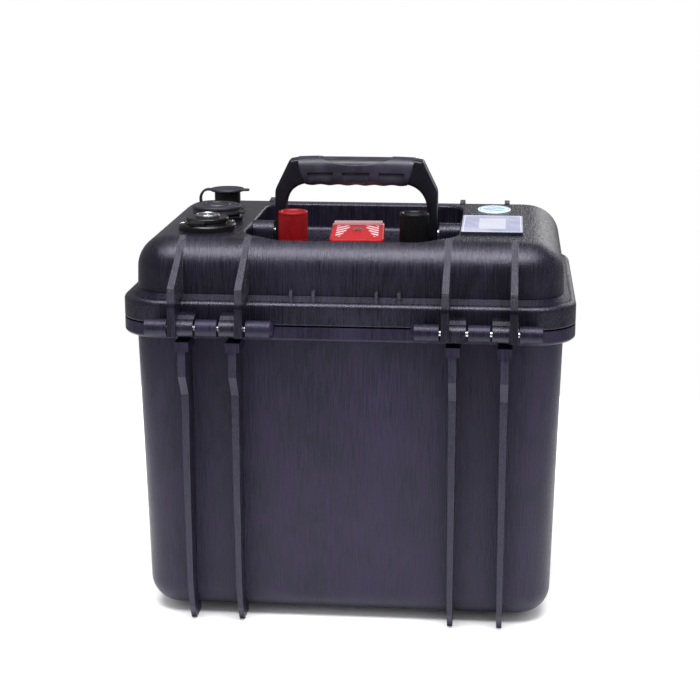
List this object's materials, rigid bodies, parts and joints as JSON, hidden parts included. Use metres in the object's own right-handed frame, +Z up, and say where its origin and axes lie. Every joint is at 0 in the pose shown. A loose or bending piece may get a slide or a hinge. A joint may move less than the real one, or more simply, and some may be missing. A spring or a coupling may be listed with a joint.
{
  "type": "battery pack",
  "caption": "Lithium battery pack in a black waterproof hard case with hinged lid, folding top handle, screw-down terminal knobs, capped sockets and a display.",
  "frame": {"origin": "on the floor under the middle of the case", "axes": "+Z up, -Y the hinge side, +Y the latch side, +X to the right seen from the hinge side"},
  "size_m": [0.33, 0.2784, 0.3381],
  "materials": {
    "case_black": "fine vertical grain, satin",
    "latch_black": "satin moulded",
    "handle_black": "satin nylon",
    "grip_rubber": "soft touch",
    "pin_steel": "brushed",
    "gasket_rubber": "matt",
    "knob_red": "fine knurl",
    "knob_black": "fine knurl",
    "cover_red": "gloss, hatched",
    "terminal_base": "glass filled nylon",
    "stud_brass": "plated",
    "copper": "tinned edges",
    "nut_steel": "zinc plated",
    "socket_gloss": "gloss moulded",
    "cap_rubber": "matt with bloom",
    "disc_plated": "silver embossed",
    "display_black": "gloss",
    "display_clear": "clear window",
    "display_panel": "pale liquid crystal panel",
    "badge_white": "domed resin",
    "cell_sleeve": "blue film on an aluminium can",
    "post_aluminium": "machined",
    "insulator": "glass epoxy sheet",
    "strap_band": "woven polyester band",
    "foam_grey": "closed cell foam",
    "bms_case": "anodised",
    "board_green": "solder mask",
    "lead_red": "silicone",
    "lead_black": "silicone"
  },
  "bodies": {
    "case": {"case_tub": "case_black", "hinge_pins": "pin_steel", "cell_1": "cell_sleeve", "cell_2": "cell_sleeve", "cell_3": "cell_sleeve", "cell_4": "cell_sleeve", "cell_posts": "post_aluminium", "busbars": "copper", "busbar_nuts": "nut_steel", "cell_insulators": "insulator", "pack_straps": "strap_band", "foam_base_pad": "foam_grey", "foam_side_pads": "foam_grey", "cover_sheet": "insulator", "bms_housing": "bms_case", "bms_screws": "pin_steel", "positive_lead": "lead_red", "negative_lead": "lead_black", "cell_lead": "lead_black", "case_lugs": "copper"},
    "lid": {"lid_shell": "case_black", "lid_gasket": "gasket_rubber", "latch_pins": "pin_steel", "handle_pins": "pin_steel", "positive_terminal_base": "terminal_base", "negative_terminal_base": "terminal_base", "positive_terminal_stud": "stud_brass", "negative_terminal_stud": "stud_brass", "stud_nuts": "nut_steel", "fuse_base": "terminal_base", "fuse_posts": "stud_brass", "fuse_link": "copper", "fuse_cover": "cover_red", "fuse_screw": "pin_steel", "charge_socket_body": "socket_gloss", "charge_socket_screws": "pin_steel", "charge_lid_pin": "pin_steel", "usb_socket_body": "socket_gloss", "aux_socket_body": "socket_gloss", "aux_strap": "cap_rubber", "socket_contacts": "stud_brass", "socket_nuts": "socket_gloss", "display_housing": "display_black", "display_window": "display_clear", "display_screen": "display_panel", "display_board": "board_green", "info_badge": "badge_white", "lid_lugs": "copper"},
    "latch_left": {"latch_left": "latch_black"},
    "latch_right": {"latch_right": "latch_black"},
    "handle": {"handle_frame": "handle_black", "handle_grip": "grip_rubber"},
    "positive_knob_washer": {"positive_knob_washer": "nut_steel"},
    "positive_knob": {"positive_knob": "knob_red"},
    "negative_knob_washer": {"negative_knob_washer": "nut_steel"},
    "negative_knob": {"negative_knob": "knob_black"},
    "charge_socket_lid": {"charge_socket_lid": "socket_gloss", "charge_lid_disc": "disc_plated"},
    "usb_cap": {"usb_cap": "cap_rubber"},
    "aux_cap": {"aux_cap": "cap_rubber"}
  },
  "joints": [
    {"name": "lid_hinge", "type": "hinge", "parent": "case", "child": "lid", "pos_m": [0, -0.131, 0.2301], "axis": [1, 0, 0], "range_deg": [0, 112], "deforming": ["positive_lead", "negative_lead"]},
    {"name": "latch_left_hinge", "type": "hinge", "parent": "lid", "child": "latch_left", "pos_m": [-0.096, 0.127, 0.2541], "axis": [1, 0, 0], "range_deg": [0, 120]},
    {"name": "latch_right_hinge", "type": "hinge", "parent": "lid", "child": "latch_right", "pos_m": [0.096, 0.127, 0.2541], "axis": [1, 0, 0], "range_deg": [0, 120]},
    {"name": "handle_hinge", "type": "hinge", "parent": "lid", "child": "handle", "pos_m": [0, -0.012, 0.2801], "axis": [-1, 0, 0], "range_deg": [-12, 90]},
    {"name": "positive_knob_rise", "type": "slide", "parent": "lid", "child": "positive_knob_washer", "axis": [0, 0, 1], "range_m": [0, 0.0038]},
    {"name": "positive_knob_turn", "type": "hinge", "parent": "positive_knob_washer", "child": "positive_knob", "pos_m": [-0.0454, -0.04, 0.2891], "axis": [0, 0, 1], "range_deg": [0, 1080]},
    {"name": "negative_knob_rise", "type": "slide", "parent": "lid", "child": "negative_knob_washer", "axis": [0, 0, 1], "range_m": [0, 0.0038]},
    {"name": "negative_knob_turn", "type": "hinge", "parent": "negative_knob_washer", "child": "negative_knob", "pos_m": [0.0454, -0.04, 0.2891], "axis": [0, 0, 1], "range_deg": [0, 1080]},
    {"name": "charge_lid_hinge", "type": "hinge", "parent": "lid", "child": "charge_socket_lid", "pos_m": [-0.108, -0.0355, 0.2949], "axis": [-1, 0, 0], "range_deg": [0, 105]},
    {"name": "usb_cap_hinge", "type": "hinge", "parent": "lid", "child": "usb_cap", "pos_m": [-0.0884, -0.01, 0.2937], "axis": [0, 1, 0], "range_deg": [0, 100]},
    {"name": "aux_cap_hinge", "type": "hinge", "parent": "lid", "child": "aux_cap", "pos_m": [-0.124, 0.035, 0.3011], "axis": [0, -1, 0], "range_deg": [0, 150], "deforming": ["aux_strap"]}
  ],
  "couplings": [
    {"joint": "positive_knob_rise", "follows": "positive_knob_turn", "m_per_rad": 0.00019894},
    {"joint": "negative_knob_rise", "follows": "negative_knob_turn", "m_per_rad": 0.00019894}
  ]
}
